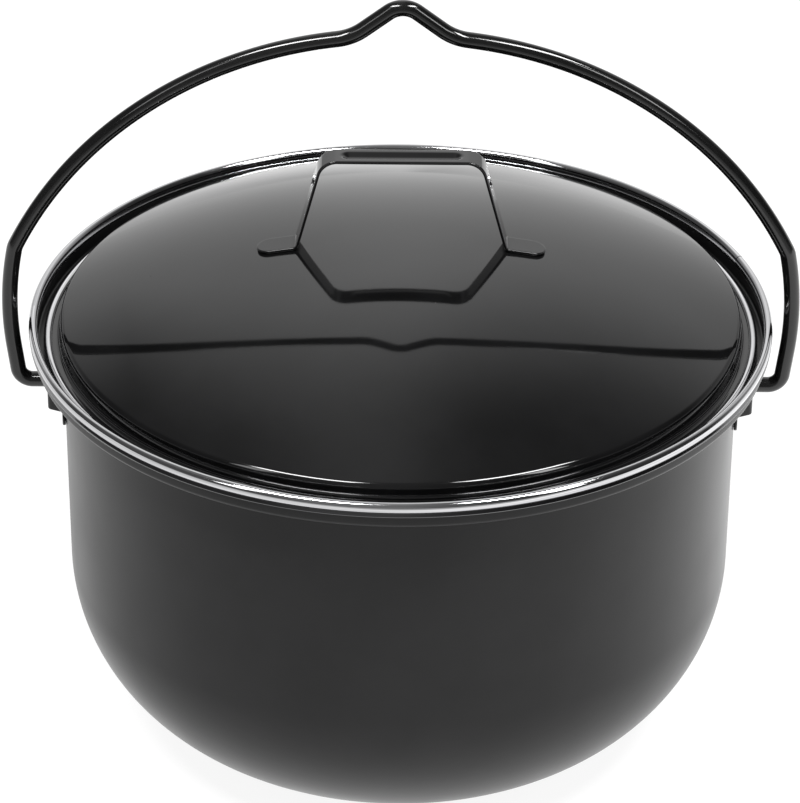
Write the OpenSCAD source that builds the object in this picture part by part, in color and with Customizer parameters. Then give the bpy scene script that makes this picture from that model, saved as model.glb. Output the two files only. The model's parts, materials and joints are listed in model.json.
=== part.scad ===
// Enamelled cauldron with a flat base, a domed lid and a wire bail.
// The base stands on z = 0 with its middle at the origin. The ears and the bail's pivots lie
// along X, and the bail swings towards -Y and +Y.

/* [Pot] */
// Height from the base to the top of the rim
pot_h = 172; // [140:1:220]
// Outer radius of the straight wall
wall_r = 127.6; // [105:0.1:150]
// Radius of the round corner between wall and base
base_corner_r = 71; // [40:1:80]
// Thickness of the pot's enamelled sheet
pot_t = 1.2; // [0.8:0.1:1.6]

/* [Rim] */
// How far the rim stands out from the wall
rim_overhang = 12.4; // [10:0.1:16]
// Diameter of the steel band round the pot's rim
rim_band_d = 4.1; // [3.2:0.1:6]
// Thickness of the steel of both bands
band_t = 0.45; // [0.3:0.05:0.6]
// Length of the rim band's straight lip inside the collar
band_lip = 2; // [1:0.1:3]
// Reach of the rim band's outer lip below the middle of the rim
outer_lip = 3.3; // [2.4:0.1:4.5]
// Width of the open butt joint in the rim band
seam_w = 0.4; // [0.2:0.1:1]
// Direction of the butt joint, in degrees from +X towards +Y
seam_az = 18.5; // [0:0.5:90]
// Depth of the lid's seat below the middle of the rim
seat_drop = 7.5; // [5.5:0.1:10]
// Outer radius of the bend from wall to seat
seat_bend_r = 2.2; // [1:0.1:3]
// Inner radius of the bend from seat to collar
collar_bend_r = 1; // [0.5:0.1:2]

/* [Lid] */
// Thickness of the lid's enamelled sheet
lid_t = 1; // [0.7:0.1:1.4]
// Play between the lid's band and the collar
lid_play = 1.85; // [1:0.05:4]
// Diameter of the steel band round the lid's flange
lid_band_d = 3.5; // [3:0.1:5]
// Width of the lid's flange with its band, outside the skirt
lid_flange_w = 6.45; // [5.8:0.05:9]
// Rise of the dome's crown above the centre of its edge bend
dome_rise = 31; // [20:0.1:50]
// Outer radius of the dome's edge bend
dome_edge_r = 3; // [1.6:0.1:6]
// Straight height of the skirt under the dome's edge
skirt_h = 3.7; // [2:0.1:10]
// Radius of the fillet between skirt and flange
skirt_fillet_r = 2; // [1:0.1:2.5]

/* [Lid handle] */
// Overall length over the two tabs
handle_l = 108; // [96:0.1:130]
// Distance between the two feet, where the legs meet the tabs
foot_span = 78.2; // [66:0.1:82]
// Height of the handle's top above the dome's crown
handle_h = 34.8; // [28:0.1:45]
// Angle of the legs below the horizontal
leg_a = 75; // [72:1:88]
// Width of the strap
strap_w = 10.5; // [8:0.1:12]
// Thickness of the strap
strap_t = 1.2; // [1:0.1:2]
// Radius of the top bends at the middle of the strap
top_bend_r = 7.4; // [4:0.1:9]
// Radius of the foot bends at the middle of the strap
foot_bend_r = 1.8; // [1.2:0.1:3]
// Length of the channel pressed into the handle's top
channel_l = 44; // [20:1:45]
// Width of the pressed channel
channel_w = 5; // [2:0.1:6]
// Depth of the pressed channel
channel_d = 1.3; // [0.2:0.05:1.4]

/* [Ears] */
// Depth of the bail's pivots below the middle of the rim
pivot_drop = 29.9; // [26:0.1:45]
// Distance from the wall to the ear's outer face
ear_depth = 6.9; // [5.5:0.1:9]
// Width of the flat of the ear's outer face
ear_face_w = 7.2; // [7:0.1:14]
// Angle by which the ear's sides splay
ear_splay = 24; // [10:1:35]
// Overall width of the ear with its two flanges
ear_w = 40; // [34:1:50]
// Height of the ear
ear_h = 21; // [18:1:30]
// Thickness of the ear's sheet
ear_t = 1.2; // [0.8:0.1:1.4]
// Inner radius of the ear's bends
ear_bend_r = 0.8; // [0.4:0.1:1.2]
// Radius of the flanges' corners
ear_corner_r = 4.5; // [1:0.1:8]

/* [Bail] */
// Diameter of the bail's wire
wire_d = 6; // [4:0.1:6.6]
// Gap between the rim and the bail's sides
side_gap = 4.5; // [3:0.1:12]
// Radius of the bend at the hook's peak
hook_r = 8.7; // [5:0.1:14]
// Angle of the hook's flanks below the horizontal
hook_a = 37; // [20:1:50]
// Straight length of each flank of the hook
hook_flank = 11.4; // [6:0.1:16]
// Radius of the bends beside the hook
neck_r = 20; // [10:1:30]
// Angle below the horizontal at which the arch starts
arch_start_a = 7.5; // [4:0.5:10]
// Angle below the horizontal at which the shoulder's bend starts
shoulder_a = 63; // [56:0.5:70]
// Angle below the horizontal at which the bowed side starts
side_a = 78.5; // [74:0.5:84]
// Radius of the bend at the shoulder
shoulder_r = 10; // [6:1:20]
// Radius of the bail's bowed side
side_r = 130; // [90:5:150]
// Straight length between two bends that follow each other
bend_gap = 0.5; // [0.2:0.1:2]
// Angle by which the bail's lower ends lean in
toe_in = 6.5; // [2:0.5:8]
// Straight length above the lower bend
leg_run = 10; // [4:0.1:20]
// Radius of the lower bend at the middle of the wire
toe_r = 5.4; // [4.8:0.1:8]
// Gap between the ends of the wire and the wall
pin_gap = 1.2; // [0.5:0.1:2]

/* [Fits] */
// Gap where one piece rests on another or wraps round it
seat_gap = 0.15; // [0.1:0.05:0.3]
// Radial gap between the wire and the holes in the ears
ear_play = 0.35; // [0.2:0.05:0.8]

/* [Hidden] */

enamel_black = [0.10, 0.10, 0.11];
pot_black = [0.17, 0.17, 0.18];
wire_black = [0.08, 0.08, 0.08];
bright_steel = [0.80, 0.80, 0.82];

// faces round the large turned forms, and round the wire and the small bends
$fn = 144;
small_fn = 48;
// overlap of a cut past the face that it opens
cut = 1;
// straight stretches run into the bends by lap, and the bends are thicker by hair, so that the
// ends of the straights lie inside them
lap = 0.05;
hair = 0.02;

// pot and rim
rim_z = pot_h - rim_band_d / 2;
rim_mid_r = wall_r + rim_overhang - rim_band_d / 2;
bead_r = rim_band_d / 2 - band_t - seat_gap;
collar_r = rim_mid_r - bead_r;
seat_z = rim_z - seat_drop;
seat_bend_z = seat_z - pot_t - seat_bend_r;
// rim band: its outer lip lies on the collar, and its round part ends above this lip
band_in_r = rim_band_d / 2 - band_t;
outer_lip_x = pot_t + seat_gap - bead_r;
round_end_a = -acos((outer_lip_x + band_t / 2) / (rim_band_d / 2 - band_t / 2));
wedge_reach = 2 * rim_band_d;

// lid, seated on the ledge
lid_mid_r = collar_r - lid_play - lid_band_d / 2;
lid_mid_z = seat_z + seat_gap + lid_band_d / 2;
lid_bead_r = lid_band_d / 2 - band_t - seat_gap;
skirt_r = lid_mid_r + lid_band_d / 2 - lid_flange_w;
flange_z = lid_mid_z + lid_t / 2;
edge_mid_r = skirt_r - dome_edge_r;
edge_mid_z = flange_z + skirt_fillet_r + skirt_h;
crown_z = edge_mid_z + dome_rise;
// sphere that is tangent to the edge bend and passes through the crown
dome_r = (pow(edge_mid_r, 2) + pow(dome_rise, 2) - pow(dome_edge_r, 2))
         / (2 * (dome_rise - dome_edge_r));
dome_mid_z = crown_z - dome_r;
edge_a = atan2(edge_mid_z - dome_mid_z, edge_mid_r);

// lid handle: its tabs are tangent to the dome, and its legs rise from the feet
strap_mid_r = dome_r + seat_gap + strap_t / 2;
foot_x = foot_span / 2;
tab_a = asin((foot_x + handle_l / 2) / 2 / strap_mid_r);
foot_z = dome_mid_z + strap_mid_r * cos(tab_a) + (strap_mid_r * sin(tab_a) - foot_x) * tan(tab_a);
handle_top_z = crown_z + handle_h - strap_t / 2;
leg_rise = handle_top_z - foot_z;
top_bend_l = top_bend_r * tan(leg_a / 2);
foot_bend_l = foot_bend_r * tan((leg_a - tab_a) / 2);
top_run = foot_x - leg_rise / tan(leg_a) - top_bend_l;
leg_l = leg_rise / sin(leg_a) - top_bend_l - foot_bend_l;
tab_l = (handle_l / 2 - foot_x) / cos(tab_a) - strap_w / 2 - foot_bend_l;

// ears: the bends between face, sides and flanges, seen from above
pivot_z = rim_z - pivot_drop;
ear_seat_r = wall_r + seat_gap;
ear_bend_out = ear_bend_r + ear_t;
ear_top_x = wall_r + ear_depth - ear_bend_out;
ear_top_y = ear_face_w / 2;
ear_side = sin(ear_splay) * ear_top_x + cos(ear_splay) * ear_top_y + ear_bend_out + ear_bend_r;
ear_foot_r = ear_seat_r + ear_bend_out;
ear_reach = sqrt(pow(ear_foot_r, 2) - pow(ear_side, 2));
ear_foot_x = sin(ear_splay) * ear_side + cos(ear_splay) * ear_reach;
ear_foot_y = cos(ear_splay) * ear_side - sin(ear_splay) * ear_reach;
ear_foot_a = atan2(ear_foot_y, ear_foot_x);
ear_end_a = asin((ear_w / 2 + cut) / ear_seat_r);
// the bent strip is taller and wider than the ear, which is cut out of it
ear_blank_h = ear_h + 2 * cut;
ear_side_l = norm([ear_top_x - ear_foot_x, ear_top_y - ear_foot_y]);
ear_side_run = sqrt(pow(ear_side_l, 2) - pow(ear_bend_out + ear_bend_r, 2));

// bail: the arch's radius follows from the width, and the hook's height from all the bends
bail_half_w = wall_r + rim_overhang + side_gap + wire_d / 2;
arch_r = (bail_half_w - hook_r * sin(hook_a) - hook_flank * cos(hook_a)
          - neck_r * (sin(hook_a) - sin(arch_start_a))
          - shoulder_r * (sin(side_a) - sin(shoulder_a)) - side_r * (1 - sin(side_a))
          - bend_gap * (cos(arch_start_a) + cos(shoulder_a) + cos(side_a)))
         / (sin(shoulder_a) - sin(arch_start_a));
toe_a = 90 + toe_in;
bail_rise = hook_r * (1 - cos(hook_a)) + hook_flank * sin(hook_a)
            + neck_r * (cos(arch_start_a) - cos(hook_a))
            + arch_r * (cos(arch_start_a) - cos(shoulder_a))
            + shoulder_r * (cos(shoulder_a) - cos(side_a))
            + side_r * (cos(side_a) - cos(toe_a))
            + bend_gap * (sin(arch_start_a) + sin(shoulder_a) + sin(side_a))
            + leg_run * sin(toe_a) + toe_r * (cos(toe_a) + 1);
toe_end_x = bail_half_w - side_r * (1 - sin(toe_a)) + leg_run * cos(toe_a) - toe_r * sin(toe_a);
pin_l = toe_end_x - wall_r - pin_gap;

// Sector of a ring in the plane, between the radii r1 and r2 and the angles a1 and a2,
// which may lie up to a half turn apart
module ring_sector(r1, r2, a1, a2) {
    far = 2 * r2;
    mid = (a1 + a2) / 2;
    intersection() {
        difference() {
            circle(r = r2);
            circle(r = r1);
        }
        polygon([[0, 0], far * [cos(a1), sin(a1)], far * [cos(mid), sin(mid)],
                 far * [cos(a2), sin(a2)]]);
    }
}

// Bends the profile given as a child through a degrees, down for a positive angle
module bend(r, a) {
    mirror([0, 0, a < 0 ? 0 : 1])
        translate([0, 0, r])
            rotate([90, 0, 0])
                rotate([0, 0, -90])
                    rotate_extrude(angle = abs(a)) translate([r, 0]) children();
}

// Carries what follows a bend to its far end
module past_bend(r, a) {
    side = a < 0 ? -1 : 1;
    translate([0, 0, -side * r]) rotate([0, a, 0]) translate([0, 0, side * r]) children();
}

module wire_run(l) {
    translate([-lap, 0, 0]) rotate([0, 90, 0]) cylinder(d = wire_d, h = l + 2 * lap, $fn = small_fn);
    translate([l, 0, 0]) children();
}

module wire_bend(r, a) {
    bend(r, a) circle(d = wire_d + hair, $fn = small_fn);
    past_bend(r, a) children();
}

module strap_run(l) {
    translate([-lap, -strap_w / 2, -strap_t / 2]) cube([l + 2 * lap, strap_w, strap_t]);
    translate([l, 0, 0]) children();
}

module strap_bend(r, a) {
    bend(r, a) square([strap_t + hair, strap_w + hair], center = true);
    past_bend(r, a) children();
}

// Both halves of a form that is symmetrical about the plane x = 0
module both_sides() {
    children();
    mirror([1, 0, 0]) children();
}

// Section of the pot: base, round corner, wall, seat for the lid, collar and rolled bead
module pot_section() {
    base_r = wall_r - base_corner_r;
    square([base_r, pot_t]);
    translate([base_r, base_corner_r])
        ring_sector(base_corner_r - pot_t, base_corner_r, -90, 0);
    translate([wall_r - pot_t, base_corner_r]) square([pot_t, seat_bend_z - base_corner_r]);
    translate([wall_r + seat_bend_r, seat_bend_z])
        ring_sector(seat_bend_r, seat_bend_r + pot_t, 90, 180);
    translate([wall_r + seat_bend_r, seat_z - pot_t])
        square([collar_r - collar_bend_r - wall_r - seat_bend_r, pot_t]);
    translate([collar_r - collar_bend_r, seat_z + collar_bend_r])
        ring_sector(collar_bend_r, collar_bend_r + pot_t, -90, 0);
    translate([collar_r, seat_z + collar_bend_r])
        square([pot_t, seat_drop - collar_bend_r]);
    translate([rim_mid_r, rim_z]) circle(r = bead_r, $fn = small_fn);
}

module pot_shell() {
    color(pot_black) rotate_extrude() pot_section();
}

// Section of the band that is crimped over the pot's bead, with a lip on each side of the collar
module rim_band_section() {
    difference() {
        circle(d = rim_band_d, $fn = small_fn);
        circle(r = band_in_r, $fn = small_fn);
        polygon([[0, 0], [-wedge_reach, 0], [-wedge_reach, -wedge_reach],
                 wedge_reach * [cos(round_end_a), sin(round_end_a)]]);
    }
    translate([-rim_band_d / 2, -band_lip]) square([band_t, band_lip]);
    translate([outer_lip_x, -outer_lip]) square([band_t, outer_lip - band_in_r]);
}

module pot_rim_band() {
    seam_a = seam_w / rim_mid_r * 180 / PI;
    color(bright_steel)
        translate([0, 0, rim_z])
            rotate([0, 0, seam_az + seam_a / 2])
                rotate_extrude(angle = 360 - seam_a)
                    translate([rim_mid_r, 0]) rim_band_section();
}

// Bend of the ear's sheet through a degrees, between two of its straight stretches
module ear_bend(a) {
    rotate_extrude(angle = a, $fn = small_fn)
        translate([ear_bend_r - hair / 2, 0]) square([ear_t + hair, ear_blank_h]);
}

// Ear seen from above: half of its face, the bend, the splayed side and the flange on the wall
module half_ear() {
    turn_a = 90 - ear_splay;
    lap_a = lap / ear_seat_r * 180 / PI;
    translate([ear_top_x + ear_bend_r, 0, 0]) cube([ear_t, ear_top_y + lap, ear_blank_h]);
    translate([ear_top_x, ear_top_y, 0]) {
        ear_bend(turn_a);
        rotate([0, 0, turn_a])
            translate([ear_bend_r, -lap, 0]) cube([ear_t, ear_side_run + 2 * lap, ear_blank_h]);
    }
    translate([ear_foot_x, ear_foot_y, 0])
        rotate([0, 0, 180 + ear_foot_a]) ear_bend(turn_a - ear_foot_a);
    rotate([0, 0, ear_foot_a - lap_a])
        rotate_extrude(angle = ear_end_a - ear_foot_a + lap_a)
            translate([ear_seat_r, 0]) square([ear_t, ear_blank_h]);
}

// Front view of the ear: a plate with four round corners
module ear_outline() {
    for (y = [-1, 1], z = [-1, 1])
        translate([z * (ear_h / 2 - ear_corner_r), y * (ear_w / 2 - ear_corner_r)])
            circle(r = ear_corner_r, $fn = small_fn);
    square([ear_h, ear_w - 2 * ear_corner_r], center = true);
    square([ear_h - 2 * ear_corner_r, ear_w], center = true);
}

module ear() {
    hole_r = wire_d / 2 + ear_play;
    translate([0, 0, pivot_z])
        difference() {
            intersection() {
                translate([0, 0, -ear_blank_h / 2]) {
                    half_ear();
                    mirror([0, 1, 0]) half_ear();
                }
                rotate([0, 90, 0]) linear_extrude(wall_r + ear_depth + cut) ear_outline();
            }
            translate([ear_top_x, 0, 0])
                rotate([0, 90, 0]) cylinder(r = hole_r, h = ear_bend_out + cut, $fn = small_fn);
        }
}

module ear_right() {
    color(enamel_black) ear();
}

module ear_left() {
    color(enamel_black) mirror([1, 0, 0]) ear();
}

// One wire bent from the hook's peak down to the pin in the ear, and its mirror image
module bail() {
    color(wire_black)
        translate([0, 0, pivot_z + bail_rise])
            both_sides()
                wire_bend(hook_r, hook_a)
                wire_run(hook_flank)
                wire_bend(neck_r, arch_start_a - hook_a)
                wire_run(bend_gap)
                wire_bend(arch_r, shoulder_a - arch_start_a)
                wire_run(bend_gap)
                wire_bend(shoulder_r, side_a - shoulder_a)
                wire_run(bend_gap)
                wire_bend(side_r, toe_a - side_a)
                wire_run(leg_run)
                wire_bend(toe_r, 180 - toe_a)
                wire_run(pin_l);
}

// Section of the lid: dome, edge bend, skirt, fillet, flange and rolled bead
module lid_section() {
    translate([0, dome_mid_z]) ring_sector(dome_r - lid_t, dome_r, edge_a, 90, $fn = 4 * $fn);
    translate([edge_mid_r, edge_mid_z])
        ring_sector(dome_edge_r - lid_t, dome_edge_r, 0, edge_a, $fn = small_fn);
    translate([skirt_r - lid_t, flange_z + skirt_fillet_r]) square([lid_t, skirt_h]);
    translate([skirt_r + skirt_fillet_r, flange_z + skirt_fillet_r])
        ring_sector(skirt_fillet_r, skirt_fillet_r + lid_t, 180, 270, $fn = small_fn);
    translate([skirt_r + skirt_fillet_r, flange_z - lid_t])
        square([lid_mid_r - skirt_r - skirt_fillet_r, lid_t]);
    translate([lid_mid_r, lid_mid_z]) circle(r = lid_bead_r, $fn = small_fn);
}

module lid_shell() {
    color(enamel_black) rotate_extrude() lid_section();
}

// Band that is crimped over the lid's bead and open towards the flange
module lid_rim_band() {
    slot_h = lid_t + 2 * seat_gap;
    color(bright_steel)
        rotate_extrude()
            translate([lid_mid_r, lid_mid_z])
                difference() {
                    circle(d = lid_band_d, $fn = small_fn);
                    circle(r = lid_bead_r + seat_gap, $fn = small_fn);
                    translate([-lid_band_d, -slot_h / 2]) square([lid_band_d, slot_h]);
                }
}

// A slot with round ends, centred on the handle's top
module channel(w, l, h) {
    straight = l - w;
    translate([-straight / 2, -w / 2, 0]) cube([straight, w, h]);
    both_sides() translate([straight / 2, 0, 0]) cylinder(d = w, h = h, $fn = small_fn);
}

// One strap bent from the top down to its round-ended tabs, with a channel pressed into its top
module lid_handle() {
    top_face = strap_t / 2;
    // the pressed channel bulges below the strap, on a border as wide as it is deep
    bulge_w = channel_w + 2 * channel_d;
    bulge_l = channel_l + 2 * channel_d;
    color(enamel_black)
        translate([0, 0, handle_top_z])
            difference() {
                union() {
                    both_sides()
                        strap_run(top_run)
                        strap_bend(top_bend_r, leg_a)
                        strap_run(leg_l)
                        strap_bend(foot_bend_r, tab_a - leg_a)
                        strap_run(tab_l)
                        translate([0, 0, -top_face])
                            cylinder(d = strap_w, h = strap_t, $fn = small_fn);
                    translate([0, 0, -top_face - channel_d]) channel(bulge_w, bulge_l, top_face + channel_d);
                }
                translate([0, 0, top_face - channel_d]) channel(channel_w, channel_l, cut + channel_d);
            }
}

pot_shell();
pot_rim_band();
ear_left();
ear_right();
bail();
lid_shell();
lid_rim_band();
lid_handle();
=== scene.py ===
"""Looks of the enamel cauldron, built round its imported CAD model.

Lengths are in metres, angles in degrees.
"""

import json
import math

import bmesh
import bpy
import numpy as np
from mathutils import Matrix, Vector


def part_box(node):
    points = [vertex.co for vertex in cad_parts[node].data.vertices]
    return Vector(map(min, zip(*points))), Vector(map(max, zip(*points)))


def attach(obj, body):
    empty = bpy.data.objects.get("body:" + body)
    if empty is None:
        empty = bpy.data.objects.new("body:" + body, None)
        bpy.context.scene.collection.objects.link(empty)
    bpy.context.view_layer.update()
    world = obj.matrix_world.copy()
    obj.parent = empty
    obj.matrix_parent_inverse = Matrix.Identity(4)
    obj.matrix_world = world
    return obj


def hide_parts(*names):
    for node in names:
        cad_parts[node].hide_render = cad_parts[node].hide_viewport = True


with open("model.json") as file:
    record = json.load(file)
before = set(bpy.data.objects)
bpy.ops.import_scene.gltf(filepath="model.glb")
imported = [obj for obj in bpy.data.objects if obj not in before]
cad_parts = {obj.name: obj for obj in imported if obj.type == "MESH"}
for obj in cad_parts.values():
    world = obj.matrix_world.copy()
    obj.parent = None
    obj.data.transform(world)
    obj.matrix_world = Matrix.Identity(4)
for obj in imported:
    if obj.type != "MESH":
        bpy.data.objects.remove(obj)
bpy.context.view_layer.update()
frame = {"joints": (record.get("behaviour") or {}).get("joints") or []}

# Driving sizes, the same as the CAD model's
MM = 0.001
WALL_R = 127.6 * MM
BASE_CORNER_R = 71 * MM
POT_SHEET = 1.2 * MM
RIM_BAND_D = 4.1 * MM
BAND_SHEET = 0.45 * MM
BAND_LIP = 2 * MM
OUTER_LIP = 3.3 * MM
SEAM_W = 0.4 * MM
SEAM_AZ = 18.5
SEAT_DROP = 7.5 * MM
SEAT_BEND_R = 2.2 * MM
COLLAR_BEND_R = 1 * MM
LID_SHEET = 1 * MM
LID_BAND_D = 3.5 * MM
LID_FLANGE_W = 6.45 * MM
DOME_RISE = 31 * MM
DOME_EDGE_R = 3 * MM
SKIRT_H = 3.7 * MM
SKIRT_FILLET_R = 2 * MM
HANDLE_L = 108 * MM
FOOT_SPAN = 78.2 * MM
LEG_A = 75
STRAP_W = 10.5 * MM
STRAP_T = 1.2 * MM
TOP_BEND_R = 7.4 * MM
FOOT_BEND_R = 1.8 * MM
CHANNEL_L = 44 * MM
CHANNEL_W = 5 * MM
CHANNEL_D = 1.3 * MM
EAR_FACE_W = 7.2 * MM
EAR_SPLAY = 24
EAR_W = 40 * MM
EAR_H = 21 * MM
EAR_SHEET = 1.2 * MM
EAR_BEND_R = 0.8 * MM
EAR_CORNER_R = 4.5 * MM
EAR_HOLE_R = 3.35 * MM
WIRE_D = 6 * MM
HOOK_R = 8.7 * MM
HOOK_A = 37
HOOK_FLANK = 11.4 * MM
NECK_R = 20 * MM
ARCH_START_A = 7.5
SHOULDER_A = 63
SIDE_A = 78.5
SHOULDER_R = 10 * MM
SIDE_R = 130 * MM
BEND_GAP = 0.5 * MM
TOE_IN = 6.5
LEG_RUN = 10 * MM
TOE_R = 5.4 * MM
PIN_GAP = 1.2 * MM
SEAT_GAP = 0.15 * MM

# Sizes that only the looks have: the rim's tube is oval, its outer lip slopes, and cut edges are soft
RIM_BAND_W = 3.2 * MM
LIP_SLOPE_A = 25
LIP_CREASE_R = 0.25 * MM
LIP_CREASE_ROOM = 0.1 * MM
EDGE_IN_BAND = 0.7 * MM
CHANNEL_ROLL = 0.9 * MM
WIRE_EDGE_R = 0.6 * MM
STRAP_EDGE_R = 0.4 * MM
EAR_EDGE_R = 0.35 * MM

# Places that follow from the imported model
RIM_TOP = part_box("pot_rim_band")[1].z
RIM_OUT_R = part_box("pot_rim_band")[1].y
LID_OUT_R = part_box("lid_rim_band")[1].y
PIVOT_Z = frame["joints"][0]["pos_m"][2]
BAIL_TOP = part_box("bail")[1].z
BAIL_HALF_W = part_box("bail")[1].x - WIRE_D / 2
HANDLE_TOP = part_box("lid_handle")[1].z
EAR_OUT_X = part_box("ear_right")[1].x

# Places that follow from those above and from the sizes
RIM_Z = RIM_TOP - RIM_BAND_D / 2
RIM_MID_R = RIM_OUT_R - RIM_BAND_W / 2
COLLAR_R = RIM_OUT_R - RIM_BAND_W + BAND_SHEET + SEAT_GAP
SEAT_Z = RIM_Z - SEAT_DROP
LID_MID_R = LID_OUT_R - LID_BAND_D / 2
LID_MID_Z = SEAT_Z + SEAT_GAP + LID_BAND_D / 2
SKIRT_R = LID_OUT_R - LID_FLANGE_W
FLANGE_Z = LID_MID_Z + LID_SHEET / 2
EDGE_MID_R = SKIRT_R - DOME_EDGE_R
EDGE_MID_Z = FLANGE_Z + SKIRT_FILLET_R + SKIRT_H
DOME_R = (EDGE_MID_R**2 + DOME_RISE**2 - DOME_EDGE_R**2) / (2 * (DOME_RISE - DOME_EDGE_R))
CROWN_Z = EDGE_MID_Z + DOME_RISE
DOME_MID_Z = CROWN_Z - DOME_R
EDGE_A = math.degrees(math.atan2(EDGE_MID_Z - DOME_MID_Z, EDGE_MID_R))

# Fineness of the meshes
TURN_STEPS = 256
CAP_STEPS = 6
OVAL_STEPS = 60
WIRE_SIDES = 40
PLATE_CORNER_STEPS = 14
STRAP_STEP = 0.5 * MM
STRAP_COLUMNS = 33
EAR_STEP = 0.7 * MM
EAR_COLUMNS = 25
DRILL_SIDES = 64
EDGE_ANGLES = (30, 60, 90)
SMOOTH_A = 32
WELD_D = 1e-7
SPECK_D = 1e-8
NEARLY_ZERO = 1e-9

# Studio
FLOOR_HALF = 6.0
LIGHT_DISTANCE = 2.2


def sin_d(a):
    """Sine of an angle in degrees."""
    return math.sin(math.radians(a))


def cos_d(a):
    """Cosine of an angle in degrees."""
    return math.cos(math.radians(a))


def tan_d(a):
    """Tangent of an angle in degrees."""
    return math.tan(math.radians(a))


class Bender:
    """A flat path made of straight runs and round bends. A positive bend turns to the left."""

    def __init__(self, start, heading=0.0):
        self.points = [tuple(start)]
        self.heading = heading

    def run(self, length, steps=1):
        """Goes straight on by a length."""
        x, y = self.points[-1]
        c, s = cos_d(self.heading), sin_d(self.heading)
        for i in range(1, steps + 1):
            self.points.append((x + c * length * i / steps, y + s * length * i / steps))

    def bend(self, radius, turn, steps):
        """Goes round a bend by an angle."""
        side = 1 if turn > 0 else -1
        x, y = self.points[-1]
        first = math.radians(self.heading - side * 90)
        mx, my = x - radius * math.cos(first), y - radius * math.sin(first)
        for i in range(1, steps + 1):
            a = first + math.radians(turn) * i / steps
            self.points.append((mx + radius * math.cos(a), my + radius * math.sin(a)))
        self.heading += turn


def path_normals(points):
    """Unit normals to the left of a flat path."""
    p = np.array(points)
    along = np.gradient(p, axis=0)
    along[1:-1] = unit(p[1:-1] - p[:-2]) + unit(p[2:] - p[1:-1])
    along = unit(along)
    return np.stack([-along[:, 1], along[:, 0]], axis=1)


def unit(v):
    """Vectors of the same direction and of length 1."""
    shortest = 1e-12
    return v / np.maximum(np.linalg.norm(v, axis=-1, keepdims=True), shortest)


def sheet_section(points, thickness, round_start=True):
    """Closed outline of a sheet along a flat path. Its edges are round, the first only if asked."""
    p, n = np.array(points), path_normals(points)
    half = thickness / 2
    left, right = p + n * half, p - n * half

    def round_edge(mid, normal):
        ahead = np.array([normal[1], -normal[0]])
        angles = np.radians(np.linspace(90, -90, CAP_STEPS + 1)[1:-1])
        return [mid + half * (math.sin(a) * normal + math.cos(a) * ahead) for a in angles]

    outline = list(left) + round_edge(p[-1], n[-1]) + list(right[::-1])
    if round_start:
        outline += round_edge(p[0], -n[0])
    return [(float(q[0]), float(q[1])) for q in outline]


def finish_mesh(name, bm, body, node, material):
    """Turns a bmesh into a smooth piece that rides on a body and stands for a CAD node."""
    bmesh.ops.remove_doubles(bm, verts=bm.verts, dist=WELD_D)
    bmesh.ops.dissolve_degenerate(bm, edges=bm.edges, dist=SPECK_D)
    bmesh.ops.recalc_face_normals(bm, faces=bm.faces)
    mesh = bpy.data.meshes.new(name)
    bm.to_mesh(mesh)
    bm.free()
    mesh.shade_smooth()
    mesh.set_sharp_from_angle(angle=math.radians(SMOOTH_A))
    mesh.materials.append(material)
    piece = bpy.data.objects.new(name, mesh)
    bpy.context.scene.collection.objects.link(piece)
    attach(piece, body)
    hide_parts(node)
    return piece


def turn_section(outline, start=0.0, sweep=360.0):
    """Turns a closed outline of radius and height about the pot's axis."""
    bm = bmesh.new()
    whole = abs(sweep - 360) < NEARLY_ZERO
    rings = []
    for i in range(TURN_STEPS if whole else TURN_STEPS + 1):
        a = math.radians(start + sweep * i / TURN_STEPS)
        c, s = math.cos(a), math.sin(a)
        rings.append([bm.verts.new((r * c, r * s, z)) for r, z in outline])
    count = len(outline)
    pairs = list(zip(rings, rings[1:] + rings[:1])) if whole else list(zip(rings, rings[1:]))
    for near, far in pairs:
        for j in range(count):
            k = (j + 1) % count
            on_axis = outline[j][0] < NEARLY_ZERO and outline[k][0] < NEARLY_ZERO
            if not on_axis:
                bm.faces.new((near[j], near[k], far[k], far[j]))
    if not whole:
        bm.faces.new(rings[0][::-1])
        bm.faces.new(rings[-1])
    return bm


def sweep_wire(path, radius, edge_r):
    """Sweeps a round wire along a path in the XZ plane, with rounded ends."""
    p, n = np.array(path), path_normals(path)
    bm = bmesh.new()
    stations = []
    for mid, normal, ahead in ((p[0], n[0], -1), (p[-1], n[-1], 1)):
        along = np.array([normal[1], -normal[0]]) * ahead
        caps = []
        for a in (0, *EDGE_ANGLES):
            back = edge_r * (1 - sin_d(a))
            inset = edge_r * (1 - cos_d(a))
            caps.append((mid - along * back, normal, radius - inset))
        stations.append(caps)
    rows = stations[0][::-1] + [(q, m, radius) for q, m in zip(p[1:-1], n[1:-1])] + stations[1]
    rings = []
    for mid, normal, r in rows:
        ring = []
        for j in range(WIRE_SIDES):
            a = 2 * math.pi * j / WIRE_SIDES
            out = r * math.cos(a)
            place = (mid[0] + normal[0] * out, r * math.sin(a), mid[1] + normal[1] * out)
            ring.append(bm.verts.new(place))
        rings.append(ring)
    for near, far in zip(rings, rings[1:]):
        for j in range(WIRE_SIDES):
            k = (j + 1) % WIRE_SIDES
            bm.faces.new((near[j], near[k], far[k], far[j]))
    bm.faces.new(rings[0][::-1])
    bm.faces.new(rings[-1])
    return bm


def plate_rows(length, corner_r, step):
    """Rows across a plate: distance along it, and the angle round a corner where the row crosses one."""
    rows = [("start", a) for a in np.linspace(90, 0, PLATE_CORNER_STEPS + 1)[:-1]]
    flat = length - 2 * corner_r
    count = max(1, math.ceil(flat / step))
    rows += [("flat", corner_r + flat * i / count) for i in range(count + 1)]
    rows += [("end", a) for a in np.linspace(0, 90, PLATE_CORNER_STEPS + 1)[1:]]
    return rows


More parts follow.
